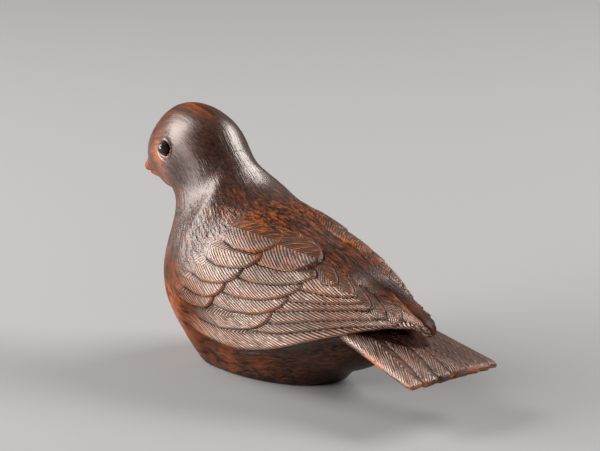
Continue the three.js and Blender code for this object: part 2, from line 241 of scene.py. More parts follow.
EDGE_LINE = chart_point(WING_EDGE[:, 0], WING_EDGE[:, 1])[:, 1:]
fine_y = np.linspace(EDGE_LINE[0, 0], EDGE_LINE[-1, 0], 160)
fine_z = np.interp(fine_y, EDGE_LINE[:, 0], EDGE_LINE[:, 1])
for _ in range(60):
    fine_z[1:-1] = (fine_z[:-2] + 2 * fine_z[1:-1] + fine_z[2:]) / 4
fine_slope = np.gradient(fine_z, fine_y)
print("wing edge from", fine_z[0].round(2), "down to", fine_z.min().round(2), "up to", fine_z[-1].round(2))


def above_wing_edge(p):
    """How far a point lies above the wing's lower edge, as seen from the side."""
    z = np.interp(p[:, 1], fine_y, fine_z)
    slope = np.interp(p[:, 1], fine_y, fine_slope)
    return (p[:, 2] - z) / np.sqrt(1 + slope * slope)


# %% Tail
TAIL = {
    "root": (10, 8.95), "end": (28.1, 6.2), "half": (5.4, 7.4), "thick": (3.1, 1.15),
    "rim": 1.0, "sag": 0.012,
    "per_side": 3, "step": 0.14, "overlap": 1.35, "round_from": 0.94, "blunt": 0.67, "shorten": 0.08}


def tail_chart(p):
    """Share along the tail, feather rank sideways, and the width of one rank in mm."""
    along = (p[:, 1] - TAIL["root"][0]) / (TAIL["end"][0] - TAIL["root"][0])
    share = np.clip(along, 0, 1)
    half = TAIL["half"][0] + (TAIL["half"][1] - TAIL["half"][0]) * share
    spread = half / (TAIL["per_side"] + TAIL["overlap"] / 2)
    return along, p[:, 0] / spread, spread, half


def fan_rank(p):
    """The rank again, but with quills that draw together under the wing tips, and its local width."""
    along, rank, spread, half = tail_chart(p)
    most = TAIL["per_side"] + TAIL["overlap"] / 2
    power = 0.35 + 0.65 * np.clip(along, 0, 1) ** 3
    share = np.clip(np.abs(p[:, 0]) / half, 1e-4, 1.2)
    fanned = most * share ** power
    return fanned, np.clip(half * share / (power * fanned), 0.2, 4)


def tail_end(rank):
    """The y at which the tail ends, cut to the round tip of each feather."""
    reach = np.full(len(rank), -99.0)
    for step in (0, 1):
        i = np.clip(np.floor(np.abs(rank)) + step, 0, TAIL["per_side"])
        off = np.abs(np.abs(rank) - i) / (TAIL["overlap"] / 2)
        blunt = TAIL["blunt"] ** 2
        past = np.sqrt(np.clip((1 - off * off) / (1 - blunt), 0, 1))
        end = TAIL["end"][0] - TAIL["shorten"] * i * i
        share = TAIL["round_from"] + (1 - TAIL["round_from"]) * past
        reach = np.maximum(reach, TAIL["root"][0] + (end - TAIL["root"][0]) * share)
    return reach


def tail_distance(p):
    along, rank, spread, half = tail_chart(p)
    share = np.clip(along, 0, 1.1)
    x = np.abs(p[:, 0])
    thick = TAIL["thick"][0] + (TAIL["thick"][1] - TAIL["thick"][0]) * share
    middle = TAIL["root"][1] + (TAIL["end"][1] - TAIL["root"][1]) * share - TAIL["sag"] * x * x
    drop = TAIL["step"] * np.minimum(np.abs(rank), TAIL["per_side"] + 0.7)
    top = p[:, 2] - (middle + thick / 2 - drop)
    thin = (thick - TAIL["rim"]) * np.clip(x / half, 0, 1) ** 2
    bottom = (middle - thick / 2 - 0.3 * drop + thin) - p[:, 2]
    sides = cut(x - half, p[:, 1] - tail_end(rank), 0.8)
    return cut(cut(cut(top, bottom, 0.4), sides, 0.8), TAIL["root"][0] - p[:, 1], 0.5)


print("tail ends at y", tail_end(np.array([0.0, 3.0])).round(2), "mm, at its middle and outer feathers")

# %% Whole form
EYE = {"y": -20.3, "z": 24.85, "x": 4.3, "radius": 0.8, "gap": 0.02}
DISH = {"out": 1.25, "back": 0.45, "radius": 1.62}
FLANK = {"fade": (42, 6), "front": (-10.5, -6.5)}
SOFT = {"tail": 1.6, "wing": 0.16, "shoulder": 1.4, "wing_rim": 0.3, "bill": 0.15, "beak": 1.7, "dish": 0.6,
        "socket": 0.1, "hole": 0.5, "foot": 0.5}
CORD_HOLES = {"middle": -2.4, "spacing": 7.6, "meet": 5.5, "radii": (1.5, 1.3)}


def rest_distance(p, block):
    return joined(block, bar_distance(p, WINGS), 3)


def from_eye(q, out=0, back=0):
    """Distance from the left eye's middle, or from a place further out and back."""
    return np.sqrt(
        (q[:, 0] - EYE["x"] - out) ** 2 + (q[:, 1] - EYE["y"] - back) ** 2 + (q[:, 2] - EYE["z"]) ** 2)


def folded(p):
    """Points of both sides laid on the left side, since the pigeon's sides match."""
    return np.stack([np.abs(p[:, 0]), p[:, 1], p[:, 2]], 1)


def form_distance(p):
    """The whole pigeon before feathers are cut: skin at zero."""
    q = folded(p)
    block = block_distance(q)
    angle, y = chart_angle(q), q[:, 1]
    edge = np.interp(y, WING_EDGE[:, 0], WING_EDGE[:, 1])
    lift = above_wing_edge(q)
    proud = PROUD * ramp(angle, edge - FLANK["fade"][0], edge - FLANK["fade"][1])
    flank = block + proud * ramp(y, *FLANK["front"])
    wings = rest_distance(q, block) + 1.2 * (1 - ramp(y, -13, -9.5))
    wings = cut(wings, -lift, SOFT["wing_rim"])
    shoulder = (1 - ramp(y, -9, -4)) * ramp(lift, 0.2, 1.5)
    tailed = joined(flank, tail_distance(q), SOFT["tail"])
    form = joined(tailed, wings, SOFT["wing"] + SOFT["shoulder"] * shoulder)
    beak = joined(bar_distance(q, UPPER_BEAK), bar_distance(q, LOWER_BEAK), SOFT["bill"])
    form = joined(form, beak, SOFT["beak"])
    form = cut(form, DISH["radius"] - from_eye(q, DISH["out"], DISH["back"]), SOFT["dish"])
    form = cut(form, EYE["radius"] + EYE["gap"] - from_eye(q), SOFT["socket"])
    for end, radius in zip((-1, 1), CORD_HOLES["radii"]):
        mouth = CORD_HOLES["middle"] + end * CORD_HOLES["spacing"] / 2
        form = cut(form, -leg_distance(q, mouth, radius), SOFT["hole"])
    return cut(form, -q[:, 2], SOFT["foot"])


def leg_distance(p, mouth, radius, past=1.2):
    """A leg of the cord tunnel, from under the mouth to just past where both legs meet."""
    start = np.array([0, mouth, 0.0])
    axis = np.array([0, CORD_HOLES["middle"], CORD_HOLES["meet"]]) - start
    length = np.linalg.norm(axis)
    axis = axis / length
    along = (p - start) @ axis
    off = np.linalg.norm(p - start - along[:, None] * axis, axis=1)
    return np.maximum(off - radius, np.maximum(along - length - past, -along - past))


def form_slope(p, distance, step=0.01):
    slope = np.empty_like(p)
    for axis in range(3):
        shift = np.zeros(3)
        shift[axis] = step
        slope[:, axis] = form_distance(p + shift) - distance
    return slope / np.maximum(np.linalg.norm(slope, axis=1), 1e-9)[:, None]


beak_and_tail = np.array([[0, *UPPER_BEAK["end"]], [0, *TAIL["end"]]])
print("beak and tail ends lie inside by", -form_distance(beak_and_tail).round(2), "mm")

# %% [markdown]
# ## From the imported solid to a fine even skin
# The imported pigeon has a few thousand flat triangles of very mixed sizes. A voxel remesh turns a copy of
# it into even squares, and each corner is then slid onto the form above and evened out along it. Two
# levels of subdivision and one more slide give a skin fine enough to carve. Sculpting by hand would do
# the same, but code can be run again.

# %% Copy and remesh
VOXEL = 0.3
LEVELS = 2
WELD = 0.001  # mm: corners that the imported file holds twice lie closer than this


def copy_of(node, name):
    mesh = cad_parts[node].data.copy()
    mesh.materials.clear()
    piece = bpy.data.objects.new(name, mesh)
    bpy.context.collection.objects.link(piece)
    bpy.ops.object.select_all(action="DESELECT")
    piece.select_set(True)
    bpy.context.view_layer.objects.active = piece
    bpy.ops.object.mode_set(mode="EDIT")
    bpy.ops.mesh.select_all(action="SELECT")
    bpy.ops.mesh.remove_doubles(threshold=WELD * MM)
    bpy.ops.object.mode_set(mode="OBJECT")
    return piece


def corners_of(piece):
    flat = np.empty(len(piece.data.vertices) * 3, np.float32)
    piece.data.vertices.foreach_get("co", flat)
    return flat.reshape(-1, 3).astype(float)


def set_corners(piece, points):
    piece.data.vertices.foreach_set("co", points.astype(np.float32).ravel())
    piece.data.update()


def apply_modifier(piece, kind, **settings):
    made = piece.modifiers.new(kind.lower(), kind)
    for key, value in settings.items():
        setattr(made, key, value)
    bpy.context.view_layer.objects.active = piece
    bpy.ops.object.modifier_apply(modifier=made.name)


pigeon = copy_of("bird", "pigeon")
pigeon.data.transform(Matrix.Translation((0, -ROW_SHIFT, 0)) @ Matrix.Scale(1 / MM, 4))
apply_modifier(pigeon, "REMESH", mode="VOXEL", voxel_size=VOXEL)
print("remeshed faces:", len(pigeon.data.polygons))


# %% Slide onto the form
def edges_of(piece):
    pairs = np.empty(len(piece.data.edges) * 2, np.int32)
    piece.data.edges.foreach_get("vertices", pairs)
    return pairs.reshape(-1, 2)


def evened(points, pairs, normals):
    """Each corner moved half way to the mean of its neighbours, along the skin only."""
    count = np.bincount(pairs.ravel(), minlength=len(points))[:, None]
    total = np.zeros_like(points)
    for axis in range(3):
        total[:, axis] = np.bincount(pairs[:, 0], points[pairs[:, 1], axis], len(points))
        total[:, axis] += np.bincount(pairs[:, 1], points[pairs[:, 0], axis], len(points))
    move = total / np.maximum(count, 1) - points
    return points + 0.5 * (move - normals * (move * normals).sum(1)[:, None])


def slid(points, longest):
    distance = form_distance(points)
    slope = form_slope(points, distance)
    return points - slope * np.clip(distance, -longest, longest)[:, None], slope


TURNS = {"all": 9, "evened": 7, "beak": 5}
LONGEST_SLIDE = {"coarse": 0.25, "fine": 0.1, "last": 0.05, "beak": 0.15}
BEAK_FRONT = -25

skin = corners_of(pigeon)
links = edges_of(pigeon)
for turn in range(TURNS["all"]):
    skin, out = slid(skin, LONGEST_SLIDE["coarse"])
    if turn < TURNS["evened"]:
        skin = evened(skin, links, out)
set_corners(pigeon, skin)
apply_modifier(pigeon, "SUBSURF", levels=LEVELS, render_levels=LEVELS)
skin = corners_of(pigeon)
skin, out = slid(skin, LONGEST_SLIDE["fine"])
skin = skin - out * np.clip(form_distance(skin), -LONGEST_SLIDE["last"], LONGEST_SLIDE["last"])[:, None]
beak = skin[:, 1] < BEAK_FRONT
for _ in range(TURNS["beak"]):
    skin[beak], out[beak] = slid(skin[beak], LONGEST_SLIDE["beak"])
print("fine corners:", len(skin))

# %% [markdown]
# ## Hand noise
# Nothing cut by hand is even. A lattice of fixed numbers, blended smoothly, gives the same small wobble
# on every run. It bends the outlines, nicks the edges and breaks up the strokes.


# %% Hand noise
def hand_noise(points, seed=0):
    """Smooth values from -1 to 1, one lattice cell to each unit of the points."""
    cell = np.floor(points).astype(np.int64)
    part = points - cell
    part = part * part * (3 - 2 * part)
    total = np.zeros(len(points))
    for corner in range(8):
        step = np.array([corner & 1, corner >> 1 & 1, corner >> 2 & 1])
        key = (cell + step) @ np.array([73856093, 19349663, 83492791]) + seed * 2654435761
        key = (key ^ (key >> 13)) * 1274126177 & 0xFFFFFFFF
        key = (key ^ (key >> 16)) & 0xFFFF
        weight = np.prod(np.where(step, part, 1 - part), axis=1)
        total += weight * (key / 32767.5 - 1)
    return total


def wobble(a, b, seed):
    return hand_noise(np.stack([a, b, np.full(len(a), 0.5)], 1), seed)


print("noise at three points:", hand_noise(np.array([[0.2, 0, 0], [1.5, 2, 3], [7.3, 1, 4]])).round(3))

# %% [markdown]
# ## Wing feathers
# Each feather is a leaf on the wing's chart: hidden root, round tip, a half width and a bend. It is sunk
# at its root and upper side, and proud at its tip and lower side, so a row of them lies like shingles.
# They are cut in painter's order, from the lowest flight feather up to the smallest coverts, and each
# one leaves a knife line on what lies under its edge, darkened in the finish by dirt and painted shade.

# %% Feather lists
FLIGHT_FEATHERS = [
    ((3, 126), (14.2, 138), 1.7, 0.3), ((2, 111), (15.2, 134.5), 1.7, 0.5),
    ((0, 98.5), (16.6, 132), 1.7, 0.7), ((-2, 89.5), (18.5, 124), 1.7, 0.9), ((-4, 80), (20, 118), 1.8, 1)]
TERTIALS = [
    ((0.5, 168), (11.2, 134), 1.7, 0.2), ((2.5, 168), (13.7, 129.5), 1.7, 0.2),
    ((5.5, 166), (16.1, 124.5), 1.7, 0.2), ((8, 165), (18.1, 122.5), 1.6, 0.2),
    ((10.5, 170), (20.2, 129), 1.5, 0.1)]
LONGEST = [((9, 176), (22.9, 152), 1.3, 0.2)]
BROAD_COVERTS = [
    ((-3, 142), (7.7, 149), 3, 0.4), ((-3.5, 120), (8.7, 133), 2.1, 0.6), ((-5, 106), (8.2, 119), 1.9, 0.8),
    ((-6.5, 95), (7.3, 105), 1.8, 0.8), ((-9.5, 80), (5.7, 92), 1.8, 1)]
SHORT_COVERTS = [
    ((-6, 140), (1.9, 146), 2.5, 0.3), ((-7.5, 122), (1.4, 127), 1.9, 0.4),
    ((-9.3, 108), (0.1, 115), 1.8, 0.5),
    ((-10.3, 97.5), (-1.6, 102.5), 1.6, 0.5), ((-10.6, 88.5), (-3.2, 92.5), 1.5, 0.5)]
ROWS = [
    {"feathers": LONGEST, "rise": 0.2, "slant": 1.6, "pitch": 0.40, "barb": 0.03, "proud": "lower"},
    {"feathers": FLIGHT_FEATHERS, "rise": 0.6, "slant": 1.5, "pitch": 0.6, "barb": 0.08, "proud": "lower"},
    {"feathers": TERTIALS, "rise": 0.2, "slant": 1.3, "pitch": 0.45, "barb": 0.055, "proud": "upper"},
    {"feathers": BROAD_COVERTS[1:], "rise": 0.5, "slant": 1.25, "pitch": 0.5, "barb": 0.055,
     "proud": "lower"},
    {"feathers": BROAD_COVERTS[:1], "rise": 0.4, "slant": 0.9, "pitch": 0.5, "barb": 0.05, "proud": "both"},
    {"feathers": SHORT_COVERTS, "rise": 0.5, "slant": 1.05, "pitch": 0.5, "barb": 0.05, "proud": "lower"},
]
SUNK, CROWN, ROOT_WIDTH, TIP_START, BLUNT = 0.14, 0.1, 0.6, 0.68, 0.17
KNIFE = {"width": 0.25, "depth": 0.17}
FAR = 9.0


def feather_frame(root, tip, half, bend):
    middle = chart_point((root[0] + tip[0]) / 2, (root[1] + tip[1]) / 2)[0]
    per_degree = math.radians(math.hypot(middle[0], middle[2] - chart_axis(middle[1])))
    run = np.array([tip[0] - root[0], (tip[1] - root[1]) * per_degree])
    length = np.linalg.norm(run)
    return {"root": root, "per_degree": per_degree, "run": run / length, "length": length, "half": half,
            "bend": bend}


painted = []
for row in ROWS:
    cut_like = {key: value for key, value in row.items() if key != "feathers"}
    painted += [{**feather_frame(*feather), **cut_like} for feather in reversed(row["feathers"])]
print("feathers on each wing:", len(painted))


# %% Feather relief
EDGE_STRIP = {
    "wide": 3.2, "front": -9.5, "quill": 2.2, "slant": 1.4, "pitch": 0.6, "barb": 0.075, "rise": 0.38}
EDGE_OWNER = 99
FULL_BARB = 0.05  # mm: barbs this deep show at full strength in the finish


def on_edge_strip(y, lift):
    """The outermost flight feather, which follows the wing's lower edge."""
    off = EDGE_STRIP["quill"] - lift + 0.05 * wobble(y * 0.9, lift * 0.2, 31)
    slope = np.clip(1 - lift / 2.4, 0, 1)
    height = EDGE_STRIP["rise"] * slope * (1 - ramp(y, 16, 21)) - 0.08 * (1 - ramp(lift, 0, 0.25))
    phase = (y - EDGE_STRIP["slant"] * np.abs(off) * (1 + 0.05 * np.abs(off))) / EDGE_STRIP["pitch"]
    return height, phase, lift, off


def barb_phase(feather, along, off):
    return (along - feather["slant"] * np.abs(off) * (1 + 0.08 * np.abs(off))) / feather["pitch"]


def on_feather(feather, y, angle, seed):
    """Place on one feather: mm along, mm off the quill, share across, and mm inside its outline."""
    dy, dz = y - feather["root"][0], (angle - feather["root"][1]) * feather["per_degree"]
    run, length, half = feather["run"], feather["length"], feather["half"]
    along = dy * run[0] + dz * run[1]
    share = along / length
    off = dy * run[1] - dz * run[0] - feather["bend"] * 4 * share * (1 - share)
    slow = wobble(along * 0.9, np.full(len(y), 0.3), seed)
    off = off + 0.05 * slow + 0.02 * wobble(along * 3.1, off * 0.2, seed)
    side = half * np.clip(ROOT_WIDTH + share, 0, 1) - np.abs(off)
    past = np.maximum(share - TIP_START, 0) * length
    reach = (1 - TIP_START) * length / math.sqrt(1 - BLUNT ** 2)
    ring = np.sqrt((off / half) ** 2 + (past / reach) ** 2)
    steep = np.sqrt((off / half ** 2) ** 2 + (past / reach ** 2) ** 2)
    tip = (1 - ring) * ring / np.maximum(steep, 1e-6)
    inside = np.where(past > 0, tip, side)
    inside = np.where(along < 0, np.minimum(inside, along), inside)
    width = half * np.clip(ROOT_WIDTH + share, 0, 1)
    return along, off, np.clip(off / width, -1, 1), inside


def exposed(feather, share, across):
    """Share of full height at a place on a feather, and how much of its pattern is cut there."""
    start, full = (0.5, 0.86) if feather["proud"] == "upper" else (0.02, 0.36)
    from_root = ramp(share, start, full)
    if feather["proud"] == "both":
        return 1 - 0.35 * np.abs(across) ** 3, from_root
    turned = -across if feather["proud"] == "upper" else across
    return (1 + turned) / 2, ramp(turned, -0.95, -0.3) * from_root


strip_at_middle = on_edge_strip(np.array([0.0]), np.array([1.0]))
print("outermost feather, 1 mm in: height, phase, mm to rim and quill", np.round(strip_at_middle, 2).ravel())


# %% Painting the wings
def paint_wings(y, angle, lift):
    """The wings' relief and its lines at chart points: height, barb phase, barb depth, and the distances
    inside the feather's own edge and outside the edge that lies over it."""
    n = len(y)
    height, phase, barb = np.zeros(n), np.zeros(n), np.zeros(n)
    own, over, quill = np.full(n, FAR), np.full(n, FAR), np.full(n, FAR)
    owner = np.full(n, -1)
    strip = np.nonzero((lift < EDGE_STRIP["wide"]) & (y > EDGE_STRIP["front"]))[0]
    height[strip], phase[strip], own[strip], quill[strip] = on_edge_strip(y[strip], lift[strip])
    barb[strip], owner[strip] = EDGE_STRIP["barb"] * ramp(y[strip], EDGE_STRIP["front"], -6), EDGE_OWNER
    height[strip] *= ramp(y[strip], EDGE_STRIP["front"], -6.5)
    for index, feather in enumerate(painted):
        reach = feather["length"] + 3
        wide = feather["half"] + feather["bend"] + 1.4
        sight = np.abs((y - feather["root"][0]) * feather["run"][1]
                       - (angle - feather["root"][1]) * feather["per_degree"] * feather["run"][0])
        behind = y - feather["root"][0]
        near = np.nonzero((behind > -1) & (behind < reach) & (sight < wide))[0]
        along, off, across, inside = on_feather(feather, y[near], angle[near], index)
        on = inside > 0
        share = np.clip(along / feather["length"], 0, 1)
        rise, cut_share = exposed(feather, share, across)
        full = (feather["rise"] + SUNK) * (0.2 + 0.8 * share) * rise + CROWN * (1 - across ** 2) * cut_share
        top = full - SUNK - 0.09 * (1 - ramp(inside, 0, 0.22)) * cut_share
        on = on & (top > height[near] - 0.25) & (cut_share > 0.02)
        hit = near[on]
        height[hit] = np.maximum(top[on], height[hit] * 0.2)
        phase[hit] = barb_phase(feather, along, off)[on]
        barb[hit] = feather["barb"] * cut_share[on]
        own[hit], over[hit] = (inside + 1.5 * (1 - cut_share))[on], FAR
        quill[hit], owner[hit] = off[on], index
        rim = ~on & (inside < 0) & (inside > -1.2)
        hit = near[rim]
        away = -inside[rim] + 1.5 * (1 - ramp(cut_share[rim], 0, 0.5))
        closer = away < over[hit]
        over[hit[closer]] = away[closer]
    return height, phase, barb, own, over, quill, owner


middle_of_wing = paint_wings(np.array([3.0]), np.array([100.0]), np.array([8.0]))
print("relief in the middle of the wing:", middle_of_wing[0].round(2), "mm, on feather", middle_of_wing[-1])

# %% [markdown]
# ## Tail feathers
# Seven feathers fan out of the rump, the middle one on top. Each is a strip with a quill in its middle
# and barbs that sweep back from it. Their order makes shallow steps that fall away to both sides.


# %% Tail relief
def paint_tail(p):
    along, rank, _, half = tail_chart(p)
    fanned, spread = fan_rank(p)
    r = fanned + 0.04 * wobble(p[:, 1] * 0.7, rank * 0.1, 5)
    lap = TAIL["overlap"] / 2
    feather = np.clip(np.ceil(r - lap), 0, TAIL["per_side"])
    off = (r - feather) * spread
    over = np.where(feather > 0, (r - (feather - 1 + lap)) * spread, FAR)
    own = np.minimum(0.5 * (half - np.abs(p[:, 0])), 0.85 * (tail_end(rank) - p[:, 1]))
    step = TAIL["step"] * (r - feather)
    height = step + 0.06 * np.exp(-(off / 0.22) ** 2)
    phase = ((p[:, 1] - TAIL["root"][0]) - 2.1 * np.abs(off) * (1 + 0.1 * np.abs(off))) / 0.8
    return height, phase, own, over, off


print("tail feathers:", 2 * TAIL["per_side"] + 1)

# %% [markdown]
# ## Strokes of the head, neck and back
# The small plumage is cut as short strokes that stream from the beak over the head, down the neck and out
# over the breast and back. A line through the bird gives each point a place along that stream and a place
# round it, and noise that is long one way and narrow the other gives the strokes.

# %% Stream chart
STREAM = np.array([
    (-28, 20.6), (-24, 23), (-20, 24.6), (-16.6, 22.4), (-14, 18.6), (-11.4, 14.4), (-7.5, 11.2), (-2, 9.9),
    (5, 9.3), (14, 8.6), (28, 6.6)])
fine_t = np.linspace(0, len(STREAM) - 1, 60)
stream_y = np.interp(fine_t, np.arange(len(STREAM)), STREAM[:, 0])
stream_z = np.interp(fine_t, np.arange(len(STREAM)), STREAM[:, 1])
for _ in range(8):
    stream_y[1:-1] = (stream_y[:-2] + stream_y[1:-1] + stream_y[2:]) / 3
    stream_z[1:-1] = (stream_z[:-2] + stream_z[1:-1] + stream_z[2:]) / 3
stream_run = np.concatenate([[0], np.cumsum(np.hypot(np.diff(stream_y), np.diff(stream_z)))])
stream_dy, stream_dz = np.gradient(stream_y, stream_run), np.gradient(stream_z, stream_run)
STREAM_RADIUS = 6.0
STREAM_BLEND = 14  # mm squared
print("length of the stream:", stream_run[-1].round(1), "mm")


def stream_chart(p):
    """Coordinates that run with the plumage: two round the bird, and mm along the stream."""
    sums, total = np.zeros((5, len(p))), np.zeros(len(p))
    nearest = np.full(len(p), 1e9)
    for y, z in zip(stream_y, stream_z):
        nearest = np.minimum(nearest, (p[:, 1] - y) ** 2 + (p[:, 2] - z) ** 2)
    for values in zip(stream_y, stream_z, stream_run, stream_dy, stream_dz):
        away = (p[:, 1] - values[0]) ** 2 + (p[:, 2] - values[1]) ** 2
        weight = np.exp((nearest - away) / STREAM_BLEND)
        total += weight
        for k, value in enumerate(values):
            sums[k] += weight * value
    y, z, run, dy, dz = sums / total
    size = np.hypot(dy, dz)
    off = (-(p[:, 1] - y) * dz + (p[:, 2] - z) * dy) / size
    onward = ((p[:, 1] - y) * dy + (p[:, 2] - z) * dz) / size
    turn = np.arctan2(p[:, 0], off)
    return np.stack([STREAM_RADIUS * np.sin(turn), STREAM_RADIUS * np.cos(turn), run + onward * 0.6], 1)


def stroke_relief(stream):
    """Ridges of hair on soft tufts, in mm."""
    short = hand_noise(stream * np.array([3.2, 3.2, 0.55]), 11)
    fine = hand_noise(stream * np.array([6.0, 6.0, 0.9]), 12)
    tufts = hand_noise(stream * np.array([1.1, 1.1, 0.45]), 13)
    return 0.035 * (1 - np.abs(short) * 2) + 0.015 * fine + 0.045 * tufts


# %% [markdown]
# ## Carving it all
# Every relief is a height, so the layers simply add up where their zone is strong. The wings move along
# their chart's rays and keep their outlines, the tail moves up and down, and the rest moves along the
# skin's own normal. The lids ring the eyes, and a shallow line parts the two wings on the back.

# %% Zones
CREST = np.array([(9, -0.5), (14.6, -0.4), (16.7, -0.2), (19, 0.3), (21.1, 0.6), (22.6, 0.6), (23.2, 0.0)])


def beside_crest(p):
    """The left wing's inner edge lies over the right wing: mm to the left of that edge."""
    return p[:, 0] - np.interp(p[:, 1], CREST[:, 0], CREST[:, 1])


def beyond_crest(p):
    """Share by which a point lies on the far side of the crest, where the feathers fade out."""
    return ramp(p[:, 1], 14, 17) * ramp(-beside_crest(p), -0.1, 0.25) * ramp(p[:, 0], -2.6, -1.4)


def calmness(p):
    """Share of stroke depth: full on the shoulder and back, little where the crown and nape are rubbed."""
    cheek = np.exp(-((p[:, 1] + 18.5) ** 2 + (p[:, 2] - 22) ** 2) / 9)
    return 1 - ramp(p[:, 2], 17, 22) * (0.68 - 0.35 * cheek)


def zones(p, out):
    """Shares of wing, of the tail's flat faces and of the whole tail plate, and mm above the wing's edge."""
    q = folded(p)
    block = block_distance(q)
    rest = rest_distance(q, block)
    lift = above_wing_edge(q)
    y = q[:, 1]
    roof = np.clip(1 + (rest + 0.9 * (1 - ramp(y, -12, -8))) / 0.5, 0, 1)
    wing = roof * ramp(lift, -0.15, 0.1) * ramp(y, -12.2, -10.2)
    plate = ramp(block, 0.1, 1.2) * ramp(y, 11, 13) * (1 - ramp(rest, -0.05, -0.5)) * (1 - wing)
    plate = plate * (np.abs(tail_distance(q)) < 0.5)
    tail = plate * ramp(np.abs(out[:, 2]), 0.35, 0.65)
    return wing, tail, plate, lift


LIDS = [(1.07, 0.14), (1.52, 0.22), (1.3, 0.1)]  # mm: radius and width of the ring, fold and groove


def lids(p):
    away = from_eye(folded(p))
    ring, fold, groove = (np.exp(-((away - radius) / width) ** 2) for radius, width in LIDS)
    fold = fold * ramp(EYE["z"] - p[:, 2], -0.6, 0.9)
    return 0.09 * ring + 0.08 * fold - 0.07 * groove


print("crest runs from y", CREST[0, 0], "to", CREST[-1, 0], "mm")

# %% Wing and tail relief
wing, tail, plate, lift = zones(skin, out)
angle = chart_angle(skin)
side = np.sign(skin[:, 0])
shown = np.where(wing > 0, skin[:, 1], -99)
height, phase, barb, own, over, quill, owner = paint_wings(shown, angle, lift)
line = KNIFE["depth"] * (1 - ramp(over, 0, KNIFE["width"]))
uneven = 0.65 + 0.5 * wobble(np.floor(phase) * 0.7 + owner * 3.1, quill * 0.8, 21)
barbs = barb * (np.abs(np.sin(np.pi * phase)) - 0.6) * ramp(own, 0.02, 0.2) * (owner >= 0) * uneven
shaft = 0.045 * np.exp(-(quill / 0.1) ** 2) * (owner >= 0)
beyond = beyond_crest(skin)
wing_height = (height - line + barbs + shaft) * (1 - ramp(skin[:, 1], 21.2, 22.8)) * (1 - beyond)

tail_height, tail_phase, tail_own, tail_over, _ = paint_tail(skin)
tail_line = 0.06 * (1 - ramp(tail_over, 0, 0.2))
tail_barbs = 0.04 * (np.abs(np.sin(np.pi * tail_phase)) - 0.6) * ramp(tail_own, 0.15, 0.45)
tail_move = (tail_height - tail_line + tail_barbs) * np.where(out[:, 2] > 0, 1, -0.5)
print("wing relief from", wing_height.min().round(2), "to", wing_height.max().round(2), "mm")

# %% Strokes, lap and carving
stream = stream_chart(skin)
plain = 1 - np.maximum(wing * np.clip(barb / FULL_BARB, 0, 1) * (1 - beyond), plate)
low = ramp(skin[:, 2], 3.0, 8.0)
calm = calmness(skin)
strokes = stroke_relief(stream) * plain * low * calm * ramp(skin[:, 1], -27, -24)
beside = beside_crest(skin)
lap = ramp(skin[:, 1], 12, 17) * (1 - ramp(skin[:, 1], 22.9, 23.6)) * wing
lap = lap * (skin[:, 2] > chart_axis(skin[:, 1]))
under_lap = 0.22 * np.exp(-((beside + 0.12) / 0.16) ** 2)
on_lap = 0.2 * np.exp(-(np.maximum(beside, 0) / 1.3) ** 2) * (beside > 0)
part = lap * (under_lap - on_lap)

ray = np.stack([side * np.sin(np.radians(angle)), 0 * side, -np.cos(np.radians(angle))], 1)
up = np.zeros_like(ray)
up[:, 2] = 1
move = ray * (wing_height * wing - part)[:, None] + up * (tail_move * tail)[:, None]
move = move + out * (strokes + lids(skin) * (skin[:, 1] < -15))[:, None]
carved = skin + move
set_corners(pigeon, carved)
print("corners moved by up to", np.linalg.norm(move, axis=1).max().round(2), "mm")

# %% Thin out to the piece's budget
MOST_TRIANGLES = 194000
SLIVER = 0.0015  # mm: the thinning leaves a few edges shorter than this, which enclose nothing


def thinned(piece, most):
    piece.data.calc_loop_triangles()
    share = most / len(piece.data.loop_triangles)
    if share < 1:
        apply_modifier(piece, "DECIMATE", ratio=share, use_collapse_triangulate=True)
    bpy.ops.object.mode_set(mode="EDIT")
    bpy.ops.mesh.select_all(action="SELECT")
    bpy.ops.mesh.dissolve_degenerate(threshold=SLIVER)
    bpy.ops.mesh.select_all(action="SELECT")
    bpy.ops.mesh.quads_convert_to_tris()
    bpy.ops.object.mode_set(mode="OBJECT")


thinned(pigeon, MOST_TRIANGLES)
pigeon.data.shade_smooth()
print("pigeon triangles:", len(pigeon.data.polygons))

# %% [markdown]
# ## Lines and zones for the finish
# The finish needs to know where it is: how far from a feather's edge, which barb, how much stroke. These
# are written on the corners of the triangles, each in its own feather's frame, so a line stays sharp where
# two feathers meet. Broad zones go on the points.


# %% Layers and frames
def corner_layer(piece, name, values):
    layer = piece.data.uv_layers.new(name=name)
    layer.data.foreach_set("uv", values.astype(np.float32).ravel())


def point_layer(piece, name, values):
    kind = "FLOAT_VECTOR" if values.ndim == 2 else "FLOAT"
    layer = piece.data.attributes.new(name, kind, "POINT")
    layer.data.foreach_set("vector" if values.ndim == 2 else "value", values.astype(np.float32).ravel())


points = corners_of(pigeon)
normals = np.empty(len(points) * 3, np.float32)
pigeon.data.vertices.foreach_get("normal", normals)
normals = normals.reshape(-1, 3).astype(float)
loops = np.empty(len(pigeon.data.loops), np.int32)
pigeon.data.loops.foreach_get("vertex_index", loops)
triangles = loops.reshape(-1, 3)
centres = points[triangles].mean(1)
face_normals = normals[triangles].mean(1)


def wing_charts(p, lift):
    """Barb depth, distance outside the edge that lies over, and owner, at points of the wings."""
    _, _, barb, _, over, _, owner = paint_wings(p[:, 1], chart_angle(p), lift)
    return barb, over, owner


